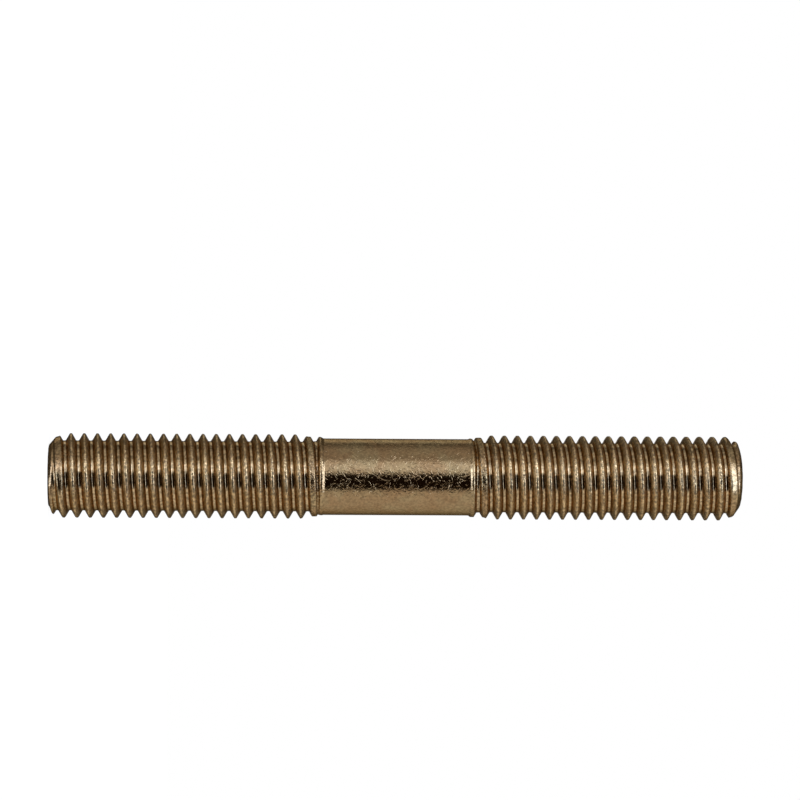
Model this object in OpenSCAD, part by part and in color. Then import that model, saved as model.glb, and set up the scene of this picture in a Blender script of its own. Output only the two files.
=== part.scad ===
// Double-ended stud bolt: one steel rod with a plain shank and a rolled right-hand thread at each end.
// It stands on its lower end face, with its axis along +Z and the origin at the centre of that face.

/* [Stud] */
// Length over both end faces
stud_length = 103; // [95:0.5:160]
// Diameter of the plain shank, which is the blank that both threads are rolled on
shank_d = 11.4; // [11:0.05:11.9]
// Diameter of the flat end faces
end_face_d = 9; // [7:0.1:10]
// Angle between the end chamfers and the axis
chamfer_angle = 50; // [35:1:60]

/* [Thread] */
// Diameter over the full crests
thread_d = 12.6; // [12.2:0.05:12.7]
// Distance from one crest to the next along the axis, here 13 threads to the inch
thread_pitch = 1.954; // [1.4:0.002:2.1]
// Lower thread, from the end face to where its last crest has sunk into the shank
lower_thread_length = 40.8; // [20:0.1:45]
// Upper thread, from the end face to where its last crest has sunk into the shank
upper_thread_length = 40.8; // [20:0.1:45]
// Height of the lower thread's first crest above its end face, on the +X side
lower_first_crest = 0.33; // [0:0.01:1.3]
// Depth of the upper thread's first crest below its end face, on the +X side
upper_first_crest = 1.13; // [0:0.01:1.3]
// Angle between the axis and the cone on which the first crests grow to full height
start_angle = 27; // [20:1:45]

/* [Run-out] */
// Length over which the crests sink to the shank
crest_runout = 3.4; // [2.8:0.1:6]
// Length over which the grooves rise to the shank
groove_runout = 2.7; // [1:0.1:6]
// Height above the shank of the low last crest
lip_height = 0.22; // [0.05:0.01:0.25]
// Length of the slope from the full crests down to the low last crest
lip_drop = 1; // [0.5:0.1:1.5]
// Length of the slope from the low last crest down to the shank
lip_fade = 0.8; // [0.3:0.1:1.2]

/* [Hidden] */
shank_r = shank_d / 2;
thread_r = thread_d / 2;
end_face_r = end_face_d / 2;
// Rolled 60 degree profile, with flats of 1/6 pitch on the crests and in the roots
crest_part = 1 / 6;
root_part = 1 / 6;
flank_part = (1 - crest_part - root_part) / 2;
thread_depth = flank_part * thread_pitch / tan(30);
root_r = thread_r - thread_depth;
// Corners of the profile along one pitch: root, crest, crest, root
profile = [0, flank_part, flank_part + crest_part, 1 - root_part];
crest_middle = flank_part + crest_part / 2;
// Flat steps in one turn of the thread
steps = 30;
// The thread's inner end lies this far under the shank's surface, and its outer end this much past the end face
tuck = 0.02;
overrun = 1.05 * thread_pitch;
// The envelope that cuts the end cones stands this far outside the crests
clearance = 1;
steel = [0.55, 0.46, 0.32];

// Radius of the crests at height z of a thread of the given length
function crest_at(z, length) = lookup(z, [
    [length - crest_runout, thread_r],
    [length - crest_runout + lip_drop, shank_r + lip_height],
    [length - lip_fade, shank_r + lip_height],
    [length, shank_r - tuck]]);

// Radius of the groove's floor at height z of a thread of the given length
function root_at(z, length) = lookup(z, [
    [length - groove_runout, root_r],
    [length, shank_r - tuck]]);

// One corner of the helical profile: step counts along the helix, corner along the pitch
function thread_point(step, corner, start, length) =
    let (z = start + thread_pitch * (step / steps + profile[corner]))
    let (on_crest = corner == 1 || corner == 2)
    let (r = on_crest ? crest_at(z, length) : root_at(z, length))
    let (turn = 360 * step / steps)
    [r * cos(turn), r * sin(turn), z];

// Two triangles for the four corners a, b, c, d, given clockwise as seen from outside
function quad(a, b, c, d) = [[a, b, c], [a, c, d]];

// Threaded rod with its helix running past both ends of the thread
module thread_rod(length, first_crest) {
    whole_turns = ceil(first_crest / thread_pitch - crest_middle + overrun / thread_pitch);
    start = first_crest - thread_pitch * (crest_middle + whole_turns);
    last = ceil(steps * (length + overrun - start) / thread_pitch);
    corners = len(profile);
    base = corners * (last + 1);
    top = base + 1;
    points = [
        for (step = [0 : last], corner = [0 : corners - 1]) thread_point(step, corner, start, length),
        [0, 0, start],
        [0, 0, start + thread_pitch * (last / steps + profile[corners - 1])]];
    flanks_and_crests = [
        for (step = [0 : last - 1], corner = [0 : corners - 2])
            let (a = corners * step + corner)
            each quad(a, a + 1, a + corners + 1, a + corners)];
    roots = [
        for (step = [0 : last - 1 - steps])
            let (a = corners * step + corners - 1)
            let (b = corners * (step + steps))
            each quad(a, b, b + corners, a + corners)];
    base_fan = [
        for (step = [0 : steps - 1]) [base, corners * step, corners * (step + 1)],
        [base, corners * steps, corners - 1],
        for (corner = [corners - 1 : -1 : 1]) [base, corner, corner - 1]];
    top_fan = [
        for (step = [last - steps : last - 1])
            [top, corners * (step + 1) + corners - 1, corners * step + corners - 1],
        for (corner = [corners - 1 : -1 : 1]) [top, corners * last + corner - 1, corners * last + corner],
        [top, corners * (last - steps) + corners - 1, corners * last]];
    polyhedron(points, concat(flanks_and_crests, roots, base_fan, top_fan), convexity = 20);
}

// Flat end face, chamfer up to the blank's radius, and the cone of the growing first crests
module end_envelope(length) {
    outer_r = thread_r + clearance;
    chamfer_top = (shank_r - end_face_r) / tan(chamfer_angle);
    start_top = chamfer_top + (outer_r - shank_r) / tan(start_angle);
    rod_top = length + 3 * thread_pitch;
    rotate_extrude($fn = 96)
        polygon([
            [0, 0],
            [end_face_r, 0],
            [shank_r, chamfer_top],
            [outer_r, start_top],
            [outer_r, rod_top],
            [0, rod_top]]);
}

// One threaded end, standing on its end face
module threaded_end(length, first_crest) {
    intersection() {
        thread_rod(length, first_crest);
        end_envelope(length);
    }
}

module stud() {
    color(steel) {
        threaded_end(lower_thread_length, lower_first_crest);
        translate([0, 0, lower_thread_length])
            cylinder(r = shank_r, h = stud_length - lower_thread_length - upper_thread_length, $fn = 96);
        translate([0, 0, stud_length])
            rotate([180, 0, 0])
                threaded_end(upper_thread_length, upper_first_crest);
    }
}

stud();
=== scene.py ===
import bpy
import numpy as np
from mathutils import Matrix, Vector


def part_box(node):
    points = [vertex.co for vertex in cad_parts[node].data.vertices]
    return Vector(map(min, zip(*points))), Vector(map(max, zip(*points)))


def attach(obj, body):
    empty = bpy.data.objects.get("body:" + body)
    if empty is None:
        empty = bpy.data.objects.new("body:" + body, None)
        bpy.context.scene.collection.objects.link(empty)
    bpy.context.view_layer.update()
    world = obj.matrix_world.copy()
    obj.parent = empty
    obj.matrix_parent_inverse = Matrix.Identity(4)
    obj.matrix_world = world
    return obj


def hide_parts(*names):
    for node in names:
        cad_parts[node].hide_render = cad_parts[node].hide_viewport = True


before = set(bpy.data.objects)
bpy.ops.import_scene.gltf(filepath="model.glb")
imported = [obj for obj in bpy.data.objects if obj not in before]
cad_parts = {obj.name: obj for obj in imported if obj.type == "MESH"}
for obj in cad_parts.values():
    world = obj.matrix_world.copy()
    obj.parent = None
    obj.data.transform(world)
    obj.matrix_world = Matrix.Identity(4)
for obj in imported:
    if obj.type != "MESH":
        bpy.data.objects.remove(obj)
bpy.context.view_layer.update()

# Stud
# One length of steel rod with a plain shank in the middle and a right-hand thread, 13 to the inch, rolled
# on each end. Rolling presses the grooves below the rod's surface and raises the crests above it, so the
# first crests on the chamfers and the last ones beside the shank are only partly filled.
MM = 0.001

# Rod and chamfers, in millimetres like all sizes of the stud
stud_low, stud_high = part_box("stud")
stud_length = (stud_high[2] - stud_low[2]) / MM
shank_r = 5.7
low_face_r = 4.5
low_chamfer_slope = 1.2
high_face_r = 4.42
high_chamfer_slope = 1.4
rim_round = 0.03
chamfer_blend = 0.05

# Thread at each end
thread_length = 40.8
pitch = 1.954
first_crest = 0.33
crest_wear = 0.03
crest_r = stud_high[0] / MM - crest_wear
root_r = 5.19
ridge_width = 0.5 * pitch
flank_slope = np.tan(np.radians(60))
crest_round = 0.11
root_round = 0.14
least_room = 0.001

# First ridge, with the land on its top and the burr beside it
land_slope = 0.3
land_growth = 0.12
land_start = 0.6
fill_start = 1.8
fill_end = 2.04
burr_height = 0.55
burr_width = 0.36
low_burr_shift = 0.29
high_burr_shift = 0.36
burr_start = 0.1
burr_growth = 0.25
burr_fade = 0.1

# Run-out: its places in order towards the shank, then its heights
drop_start = thread_length - 3.4
lip_start = thread_length - 2.4
wall_start = thread_length - 1.1
ring_start = thread_length - 0.7
ring_end = thread_length - 0.46
shank_start = thread_length - 0.1
lip_height = 0.22
lip_fall = 0.04
floor_rise = 0.1
ring_height = 0.12
ring_swing = 0.1
ring_shift = 0.3


def smooth_min(a, b, blend):
    """The smaller of a and b. Where they differ by less than blend, a parabola rounds the corner."""
    near = np.maximum(blend - np.abs(a - b), 0)
    return np.minimum(a, b) - near**2 / (4 * blend)


def crest_limit(from_end, ridge_from_end):
    """Radius that the crests reach at a distance from the nearer end face. The first ridge is a sloping
    land of about the blank's size until its own middle is far enough from the end to fill up. The last
    one drops to a low lip and sinks into the shank."""
    land = shank_r + land_slope * (from_end - ridge_from_end) + land_growth * (ridge_from_end - land_start)
    filled = np.interp(ridge_from_end, [fill_start, fill_end], [0, 1])
    lip_r = shank_r + lip_height
    places = [drop_start, lip_start, ring_end, shank_start]
    run_out = np.interp(from_end, places, [crest_r, lip_r + lip_fall, lip_r, shank_r])
    return np.minimum(land + (crest_r - land) * filled, run_out)


def root_limit(from_end, past_ridge):
    """Radius of the groove's floor at a distance from the nearer end face. In the run-out it rises over
    the shank to a low ring of steel that the dies' edges have pushed up. The ring's height follows a
    cosine once round the stud and is greatest beside the last ridge."""
    places = [lip_start, wall_start, ring_start]
    floor_r = np.interp(from_end, places, [root_r, root_r + floor_rise, shank_r])
    ring = ring_height + ring_swing * np.cos(2 * np.pi * (past_ridge + ring_shift) / pitch)
    raised = np.interp(from_end, [wall_start, ring_start, ring_end, shank_start], [0, 1, 1, 0])
    return floor_r + ring * raised


def off_line(along, line):
    """How far a place along the stud lies past the nearest turn of a helix that starts at line."""
    turns = (along - line) / pitch
    return (turns - np.round(turns)) * pitch


def chamfer_radius(along, z, from_end):
    """Radius of the end chamfer: a straight cone out from the end face, with the rim rounded off. The
    first groove pushes a sharp burr up out of the cone, a little further from the end than the crest's
    own line. The burr fades where it runs out over the end face."""
    lower = z < stud_length / 2
    face_r = np.where(lower, low_face_r, high_face_r)
    slope = np.where(lower, low_chamfer_slope, high_chamfer_slope)
    cone = face_r + slope * from_end - rim_round * np.exp(-from_end / rim_round)
    off_burr = off_line(along, first_crest + np.where(lower, low_burr_shift, -high_burr_shift))
    burr_from_end = np.minimum(z - off_burr, stud_length - z + off_burr)
    grown = np.clip((burr_from_end - burr_start) / burr_growth, 0, 1)
    kept = grown * np.clip(from_end / burr_fade, 0, 1)
    return cone + burr_height * np.clip(1 - np.abs(off_burr) / burr_width, 0, 1) * kept


def stud_radius(along, z):
    """Radius of the surface at height z. along is that height less what the helix has climbed, so a crest
    is a line of equal along. The flanks are 60 degrees steep and a ridge width apart at the shank's
    radius. They are held between the crests' limit and the groove's floor, with rounded corners, and
    then under the chamfer."""
    from_end = np.minimum(z, stud_length - z)
    off_crest = off_line(along, first_crest)
    ridge_from_end = np.minimum(z - off_crest, stud_length - z + off_crest)
    flank = shank_r + (ridge_width / 2 - np.abs(off_crest)) * flank_slope
    highest = crest_limit(from_end, ridge_from_end)
    lowest = np.minimum(root_limit(from_end, from_end - ridge_from_end), highest)
    room = np.clip((highest - lowest) / (crest_r - root_r), least_room, 1)
    ridge = smooth_min(flank, highest, crest_round * room)
    thread = -smooth_min(-ridge, -lowest, root_round * room)
    thread = np.clip(thread, lowest, highest)
    return smooth_min(thread, chamfer_radius(along, z, from_end), chamfer_blend)


def stud_surface(columns, rows):
    """Points, triangles, helix coordinates and steepness of the stud, in millimetres. The grid is wound
    along the helix: a line of it climbs one pitch in a turn and there meets the line that lies a pitch,
    or rows lines, further on. A sine packs the lines at crests and roots. Past an end face they wind
    inwards to its centre, where they close. Steepness is the radius gained along the stud, as a share of
    a flank's."""
    face_run = 1.5 * pitch
    spare_pitches = 1.5
    row_packing = 0.45
    before = int(np.ceil((first_crest + face_run) / pitch + spare_pitches))
    pitches = before + int(np.ceil((stud_length + face_run) / pitch + spare_pitches))
    line = np.arange(pitches * rows + 1)
    across = line / rows - row_packing * np.sin(4 * np.pi * line / rows) / (4 * np.pi)
    along = first_crest + pitch * (across - before - 0.5)
    turn = np.arange(columns) / columns
    height = along[:, None] + pitch * turn
    z = np.clip(height, 0, stud_length)
    past_end = np.abs(height - z) / face_run
    radius = stud_radius(along[:, None], z) * np.clip(1 - past_end, 0, 1)
    angle = 2 * np.pi * turn
    points = np.stack([radius * np.cos(angle), radius * np.sin(angle), z], axis=2).reshape(-1, 3)
    gained = np.gradient(radius, axis=0) / np.gradient(along)[:, None]
    steep = np.clip(np.abs(gained) / flank_slope, 0, 1).ravel()

    number = np.arange(len(points)).reshape(radius.shape)
    number[(radius == 0) & (z == 0)] = 0
    number[(radius == 0) & (z > 0)] = len(points) - 1
    number = np.concatenate([number[:-rows], number[rows:, :1]], axis=1)
    turns = np.arange(columns + 1) / columns
    wound = line[: len(number) - 1] // rows
    low_u = wound[:, None] + turns
    low_v = np.broadcast_to((across[: len(number) - 1] - wound)[:, None], low_u.shape)
    high_v = np.broadcast_to((across[1: len(number)] - wound)[:, None], low_u.shape)
    corners = [
        (number[:-1, :-1], low_u[:, :-1], low_v[:, :-1]),
        (number[:-1, 1:], low_u[:, 1:], low_v[:, 1:]),
        (number[1:, 1:], low_u[:, 1:], high_v[:, 1:]),
        (number[1:, :-1], low_u[:, :-1], high_v[:, :-1])]
    halves = []
    helix = []
    for half in ((0, 1, 2), (0, 2, 3)):
        halves.append(np.stack([corners[i][0].ravel() for i in half], axis=1))
        helix.append(np.stack([np.stack([corners[i][1].ravel(), corners[i][2].ravel()], axis=1)
                               for i in half], axis=1))
    triangles = np.concatenate(halves)
    helix = np.concatenate(helix)
    whole = (triangles != np.roll(triangles, 1, axis=1)).all(axis=1)
    used, triangles = np.unique(triangles[whole], return_inverse=True)
    return points[used], triangles.reshape(-1, 3), helix[whole], steep[used]


def stud_mesh(name, points, triangles, helix, steep):
    """A smooth mesh object from arrays in millimetres. Its map "helix" has a place for each triangle
    corner and its attribute "steep" a number for each point."""
    mesh = bpy.data.meshes.new(name)
    mesh.vertices.add(len(points))
    mesh.vertices.foreach_set("co", (points * MM).astype(np.float32).ravel())
    mesh.loops.add(triangles.size)
    mesh.loops.foreach_set("vertex_index", triangles.astype(np.int32).ravel())
    mesh.polygons.add(len(triangles))
    mesh.polygons.foreach_set("loop_start", np.arange(0, triangles.size, 3, dtype=np.int32))
    mesh.polygons.foreach_set("use_smooth", np.ones(len(triangles), dtype=bool))
    mesh.update(calc_edges=True)
    wound = mesh.uv_layers.new(name="helix")
    wound.uv.foreach_set("vector", helix.astype(np.float32).ravel())
    steepness = mesh.attributes.new("steep", "FLOAT", "POINT")
    steepness.data.foreach_set("value", steep.astype(np.float32))
    mesh.validate()
    piece = bpy.data.objects.new(name, mesh)
    bpy.context.scene.collection.objects.link(piece)
    return piece


def add_node(tree, kind, settings=None, **inputs):
    """A shader node with some settings and input values. A value that is a socket is linked, others are
    set. Names of inputs have underscores for spaces, and a number after an underscore picks an input by
    place."""
    made = tree.nodes.new(kind)
    for key, value in (settings or {}).items():
        setattr(made, key, value)
    for key, value in inputs.items():
        place = int(key[1:]) if key[0] == "_" else key.replace("_", " ")
        if isinstance(value, bpy.types.NodeSocket):
            tree.links.new(value, made.inputs[place])
        else:
            made.inputs[place].default_value = value
    return made


def maths(tree, operation, *values):
    """One step of arithmetic on sockets and numbers."""
    numbered = {"_%d" % i: value for i, value in enumerate(values)}
    return add_node(tree, "ShaderNodeMath", {"operation": operation}, **numbered).outputs[0]


def ramp(tree, value, low, high, start=0.0, end=1.0):
    """A smooth step: start where value is at low, end where it is at high."""
    settings = {"interpolation_type": "SMOOTHSTEP"}
    made = add_node(tree, "ShaderNodeMapRange", settings, Value=value,
                    From_Min=low, From_Max=high, To_Min=start, To_Max=end)
    return made.outputs[0]


def noise(tree, vector, scale, detail=2.0, distortion=0.0):
    """Cloudy noise from 0 to 1, with scale in features to a unit of the vector."""
    made = add_node(tree, "ShaderNodeTexNoise", Vector=vector, Scale=scale, Detail=detail,
                    Distortion=distortion)
    return made.outputs["Fac"]


def mix_colours(tree, share, first, second, blend="MIX"):
    """Two colours mixed by a share from 0 to 1."""
    settings = {"data_type": "RGBA", "blend_type": blend}
    made = add_node(tree, "ShaderNodeMix", settings, _0=share, _6=first, _7=second)
    return made.outputs[2]


def stud_steel():
    """Bare satin steel with a warm brown cast. The shank has curly flecks. On the threads the flanks are
    rough and the grooves' floors are burnished by the rolling dies. The lower flanks beside the floors
    carry painted shade. The crests and the tops of the flanks carry a painted highlight, strongest in
    patches of wear drawn out along them. The end faces have faint turning rings."""
    material = bpy.data.materials.new("stud_steel")
    material.use_nodes = True
    tree = material.node_tree
    surface = tree.nodes["Principled BSDF"]
    place = add_node(tree, "ShaderNodeTexCoord").outputs["Object"]
    helix = add_node(tree, "ShaderNodeUVMap", {"uv_map": "helix"}).outputs["UV"]
    steep = add_node(tree, "ShaderNodeAttribute", {"attribute_name": "steep"}).outputs["Fac"]
    parts = add_node(tree, "ShaderNodeSeparateXYZ", Vector=place)

    # Parts of the stud by their place along it
    middle = stud_length * MM / 2
    from_middle = maths(tree, "ABSOLUTE", maths(tree, "SUBTRACT", parts.outputs["Z"], middle))
    shank_half = middle - thread_length * MM
    on_thread = ramp(tree, from_middle, shank_half - 0.2 * MM, shank_half + 1.2 * MM)
    off_chamfer = ramp(tree, from_middle, middle - 1.4 * MM, middle - 1.0 * MM, 1.0, 0.0)
    on_face = ramp(tree, from_middle, middle - 0.06 * MM, middle - 0.02 * MM)
    at_end = ramp(tree, from_middle, middle - 2.4 * MM, middle - 1.8 * MM)
    at_shank = ramp(tree, from_middle, shank_half + 1.6 * MM, shank_half + 2.8 * MM, 0.3, 0.0)
    on_land = maths(tree, "MAXIMUM", at_end, at_shank)

    # Parts of the thread by their radius and steepness
    across = maths(tree, "MULTIPLY", parts.outputs["X"], parts.outputs["X"])
    across = maths(tree, "MULTIPLY_ADD", parts.outputs["Y"], parts.outputs["Y"], across)
    radius = maths(tree, "SQRT", across)
    # The crests' band reaches down over the tops of the flanks, which get the painted highlight too
    on_crest = ramp(tree, radius, (crest_r - 0.36) * MM, (crest_r - 0.08) * MM)
    on_flank = maths(tree, "MULTIPLY", ramp(tree, steep, 0.4, 0.85), off_chamfer)
    at_floor = ramp(tree, radius, (root_r + 0.04) * MM, (root_r + 0.16) * MM, 1.0, 0.0)
    on_root = maths(tree, "MULTIPLY", at_floor, off_chamfer)
    near_floor = ramp(tree, radius, (root_r + 0.2) * MM, (root_r + 0.6) * MM, 1.0, 0.0)
    # deep marks the lower flanks near the grooves' floors, which get painted shade and less roughness
    deep = maths(tree, "MULTIPLY", near_floor, on_flank)
    rolled = maths(tree, "SUBTRACT", on_thread, on_root)

    # Marks in the steel
    grain = noise(tree, place, 2200, 1.0, 2.4)
    curls = ramp(tree, noise(tree, place, 900, 1.0, 3.0), 0.5, 0.66)
    fine_grain = noise(tree, place, 5000, 1.0)
    blotches = noise(tree, place, 300, 3.0, 0.5)
    specks = noise(tree, place, 2600)
    drawn = add_node(tree, "ShaderNodeMapping", Vector=helix, Scale=(7.0, 14.0, 1.0)).outputs[0]
    lines = noise(tree, drawn, 1.0)
    turning_pitch = 0.3 * MM
    rings = maths(tree, "SINE", maths(tree, "MULTIPLY", radius, 2 * np.pi / turning_pitch))

    # Colour
    dull = (0.43, 0.264, 0.126, 1)
    clean = (0.475, 0.332, 0.166, 1)
    shaded = (0.48, 0.35, 0.195, 1)
    # Painted shade for the lower flanks beside the grooves' floors, where the neighbouring ridges shade
    # them
    groove_shade = (0.30, 0.18, 0.08, 1)
    # Painted highlight colour for the crests and upper flanks
    bright = (0.66, 0.46, 0.24, 1)
    burnished = (0.60, 0.43, 0.24, 1)
    scuffs = maths(tree, "ADD", maths(tree, "MULTIPLY", lines, 0.5), maths(tree, "MULTIPLY", specks, 0.5))
    # Painted highlight over the crests and upper flanks, strongest in patches of wear drawn out along them
    worn_and_highlit = maths(tree, "MULTIPLY", on_crest, ramp(tree, scuffs, 0.4, 0.58, 0.2, 1.0))
    colour = mix_colours(tree, ramp(tree, blotches, 0.3, 0.7), dull, clean)
    for mask, tint in ((on_flank, shaded), (deep, groove_shade), (worn_and_highlit, bright), (on_root, burnished)):
        colour = mix_colours(tree, mask, colour, tint)
    contrast = maths(tree, "MULTIPLY_ADD", on_thread, 0.55, 0.35)
    speckle = maths(tree, "MULTIPLY_ADD", ramp(tree, specks, 0.3, 0.7, -0.5, 0.5), contrast, 1.0)
    colour = mix_colours(tree, 1.0, colour, speckle, "MULTIPLY")
    tree.links.new(colour, surface.inputs["Base Color"])
    surface.inputs["Metallic"].default_value = 1.0
    surface.inputs["Specular Tint"].default_value = (0.86, 0.66, 0.42, 1)

    # Roughness
    rough = ramp(tree, grain, 0.3, 0.7, 0.10, 0.16)
    for mask, added in ((on_root, -0.07), (rolled, 0.05), (on_flank, 0.15), (deep, -0.17)):
        rough = maths(tree, "MULTIPLY_ADD", mask, added, rough)
    tree.links.new(rough, surface.inputs["Roughness"])

    # Relief, which is calmer on flanks, grooves' floors, crests and lands
    calm = on_root
    for mask, share in ((on_flank, 0.3), (on_crest, 0.3), (on_land, 0.75)):
        calm = maths(tree, "MULTIPLY_ADD", mask, share, calm)
    calm = maths(tree, "MINIMUM", calm, 0.98)
    rolled_grain = maths(tree, "MULTIPLY", grain, 0.85)
    for marks, depth in ((fine_grain, 0.75), (lines, 0.2)):
        rolled_grain = maths(tree, "MULTIPLY_ADD", marks, depth, rolled_grain)
    rolled_grain = maths(tree, "MULTIPLY", rolled_grain, maths(tree, "SUBTRACT", 1.0, calm))
    shank_grain = maths(tree, "MULTIPLY_ADD", fine_grain, 0.2, maths(tree, "MULTIPLY", curls, 0.2))
    height = add_node(tree, "ShaderNodeMix", Factor=on_thread, A=shank_grain, B=rolled_grain).outputs[0]
    height = maths(tree, "MULTIPLY_ADD", maths(tree, "MULTIPLY", rings, on_face), 0.07, height)
    relief_depth = 0.08 * MM
    relief = add_node(tree, "ShaderNodeBump", Strength=1.0, Distance=relief_depth, Height=height)
    tree.links.new(relief.outputs[0], surface.inputs["Normal"])
    tree.links.new(relief.outputs[0], surface.inputs["Coat Normal"])
    surface.inputs["Coat Weight"].default_value = 0.12
    surface.inputs["Coat Roughness"].default_value = 0.16
    return material


stud = stud_mesh("stud_rolled", *stud_surface(columns=84, rows=20))
stud.data.materials.append(stud_steel())
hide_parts("stud")
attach(stud, "root")

# Floor
# A plain pale floor that the stud stands on. To the camera it is as white as the backdrop, less the
# stud's shadow.
floor_half = 1.5
floor_glow = 1.16
floor_glow_share = 0.8
floor_corners = [(-floor_half, -floor_half, 0), (floor_half, -floor_half, 0),
                 (floor_half, floor_half, 0), (-floor_half, floor_half, 0)]
floor_mesh = bpy.data.meshes.new("floor")
floor_mesh.from_pydata(floor_corners, [], [(0, 1, 2, 3)])
floor = bpy.data.objects.new("floor", floor_mesh)
bpy.context.scene.collection.objects.link(floor)
floor_material = bpy.data.materials.new("floor_pale")
floor_material.use_nodes = True
floor_tree = floor_material.node_tree
floor_paint = floor_tree.nodes["Principled BSDF"]
floor_paint.inputs["Base Color"].default_value = (0.8, 0.8, 0.79, 1)
floor_paint.inputs["Roughness"].default_value = 0.9
floor_paint.inputs["Specular IOR Level"].default_value = 0.1
floor_white = add_node(floor_tree, "ShaderNodeEmission", Color=(1, 1, 1, 1), Strength=floor_glow)
floor_path = add_node(floor_tree, "ShaderNodeLightPath")
floor_share = maths(floor_tree, "MULTIPLY", floor_path.outputs["Is Camera Ray"], floor_glow_share)
floor_mix = add_node(floor_tree, "ShaderNodeMixShader", Fac=floor_share,
                     _1=floor_paint.outputs[0], _2=floor_white.outputs[0])
floor_tree.links.new(floor_mix.outputs[0], floor_tree.nodes["Material Output"].inputs["Surface"])
floor_mesh.materials.append(floor_material)
floor.visible_glossy = False

# Light tent
# Soft light from pale walls, brightest just above the camera and dark behind the stud. An opening for the
# lens, so dark too, lies a little towards the lower end. Bright panels stand to both sides of it, towards
# the stud's two ends, with others above them. A pale strip hangs high up behind the stud.
tent = bpy.data.worlds.new("light_tent")
bpy.context.scene.world = tent
tent.use_nodes = True
tent_tree = tent.node_tree
tent_way = add_node(tent_tree, "ShaderNodeTexCoord").outputs["Generated"]
tent_parts = add_node(tent_tree, "ShaderNodeSeparateXYZ", Vector=tent_way)

# Angle about the stud's axis from the camera's side: up in the photograph is plus, down is minus
tent_up = maths(tent_tree, "MULTIPLY", tent_parts.outputs["X"], -1)
tent_near = maths(tent_tree, "MULTIPLY", tent_parts.outputs["Y"], -1)
tent_angle = maths(tent_tree, "ARCTAN2", tent_up, tent_near)

# Angle from the opening's middle towards either end of the stud
opening_shift = np.radians(10)
tent_rise = maths(tent_tree, "ARCSINE", tent_parts.outputs["Z"])
tent_off = maths(tent_tree, "ABSOLUTE", maths(tent_tree, "ADD", tent_rise, opening_shift))

# Brightness of the walls at angles about the axis, in degrees, with a cool tint where they are brightest
tent_levels = [
    (-180, 0.06), (-150, 0.12), (-132, 0.36), (-114, 0.52), (-90, 0.60), (-10, 0.60), (16, 0.75),
    (24, 0.93), (44, 0.86), (55, 0.35), (72, 0.40), (94, 0.36), (105, 0.20), (120, 0.12), (180, 0.06)]
cool_above = 0.62
cool_green_share = 0.35
tent_place = maths(tent_tree, "MULTIPLY_ADD", tent_angle, 0.5 / np.pi, 0.5)
tent_walls = add_node(tent_tree, "ShaderNodeValToRGB", Fac=tent_place)
band = tent_walls.color_ramp
for degrees, level in tent_levels[1:-1]:
    band.elements.new((degrees + 180) / 360)
for element, (degrees, level) in zip(band.elements, tent_levels):
    element.position = (degrees + 180) / 360
    cool = max(0, level - cool_above)
    element.color = (level, level * (1 + cool_green_share * cool), level * (1 + cool), 1)


def tent_patch(low, high, inner, outer):
    """A soft-edged part of the tent's wall, between two angles about the axis and two from the opening's
    middle, all in degrees. An inner angle well below zero takes in the middle."""
    soft = 6
    edges = [(tent_angle, low, 0, 1), (tent_angle, high, 1, 0),
             (tent_off, inner, 0, 1), (tent_off, outer, 1, 0)]
    mask = 1.0
    for value, edge, start, end in edges:
        step = ramp(tent_tree, value, np.radians(edge - soft), np.radians(edge + soft), start, end)
        mask = maths(tent_tree, "MULTIPLY", mask, step)
    return mask


end_walls = (ramp(tent_tree, tent_off, np.radians(70), np.radians(80)), (0.45, 0.45, 0.45, 1))
high_strip = (tent_patch(127, 152, -10, 18), (0.58, 0.63, 0.72, 1))
opening = (tent_patch(-40, 12, -10, 36), (0.010, 0.005, 0.002, 1))
side_panels = (tent_patch(-42, 14, 46, 76), (2.6, 3.4, 5.0, 1))
upper_panels = (tent_patch(13, 44, 32, 78), (2.8, 3.45, 4.8, 1))
tent_inside = tent_walls.outputs["Color"]
for patch, patch_colour in (end_walls, high_strip, opening, side_panels, upper_panels):
    tent_inside = mix_colours(tent_tree, patch, tent_inside, patch_colour)
tent_light = tent_tree.nodes["Background"]
tent_tree.links.new(tent_inside, tent_light.inputs["Color"])

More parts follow.
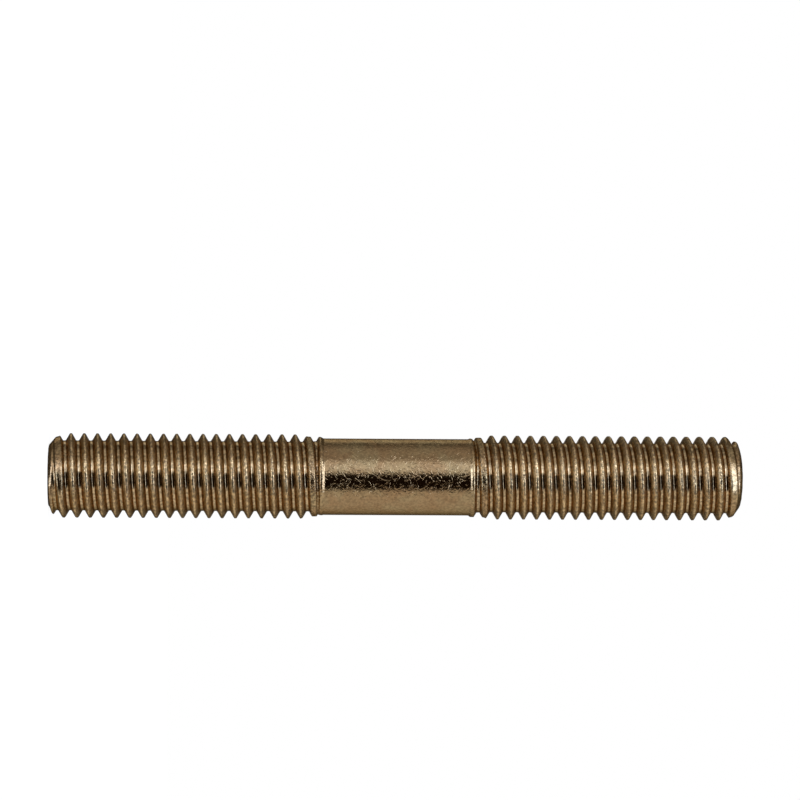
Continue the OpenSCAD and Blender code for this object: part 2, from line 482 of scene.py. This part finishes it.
# White backdrop for the camera, of which the steel mirrors a card straight behind the stud
tent_white = add_node(tent_tree, "ShaderNodeBackground", Color=(1, 1, 1, 1), Strength=1.0)
tent_path = add_node(tent_tree, "ShaderNodeLightPath")
card_half = np.radians(7)
on_card = ramp(tent_tree, tent_parts.outputs["Y"], np.cos(card_half), 1.0)
mirrored_card = maths(tent_tree, "MULTIPLY", tent_path.outputs["Is Glossy Ray"], on_card)
backdrop = tent_path.outputs["Is Camera Ray"]
for seen_too in (tent_path.outputs["Is Transmission Ray"], mirrored_card):
    backdrop = maths(tent_tree, "MAXIMUM", backdrop, seen_too)
tent_mix = add_node(tent_tree, "ShaderNodeMixShader", Fac=backdrop,
                    _1=tent_light.outputs[0], _2=tent_white.outputs[0])
tent_tree.links.new(tent_mix.outputs[0], tent_tree.nodes["World Output"].inputs["Surface"])
bpy.context.scene.view_settings.view_transform = "Standard"

# Camera
# The photograph shows the stud lying across the picture, so the camera lies on its side: its right is the
# stud's upper end. It stands level with the lower thread, half a metre off, and is turned a little to the
# upper end.
camera_data = bpy.data.cameras.new("camera")
camera = bpy.data.objects.new("camera", camera_data)
bpy.context.scene.collection.objects.link(camera)
bpy.context.scene.camera = camera
focal_pixels = 3318.9
picture_pixels = 800
camera_data.sensor_width = 36.0
camera_data.lens = focal_pixels * camera_data.sensor_width / picture_pixels
camera_data.clip_start = 0.01
camera_data.clip_end = 10
camera_place = Vector((-6.91, -494.3, 23.36)) * MM
pan, tilt, roll = np.radians([3.3274, 0.5301, 0.3413])
level_right = Vector((0, -np.sin(pan), np.cos(pan)))
level_ahead = Vector((0, np.cos(pan), np.sin(pan)))
picture_up = Vector((-1, 0, 0))
ahead = np.sin(tilt) * picture_up + np.cos(tilt) * level_ahead
upright = np.cos(tilt) * picture_up - np.sin(tilt) * level_ahead
right = np.cos(roll) * level_right + np.sin(roll) * upright
upright = np.cos(roll) * upright - np.sin(roll) * level_right
turned = Matrix((right, upright, -ahead)).transposed()
camera.matrix_world = Matrix.Translation(camera_place) @ turned.to_4x4()
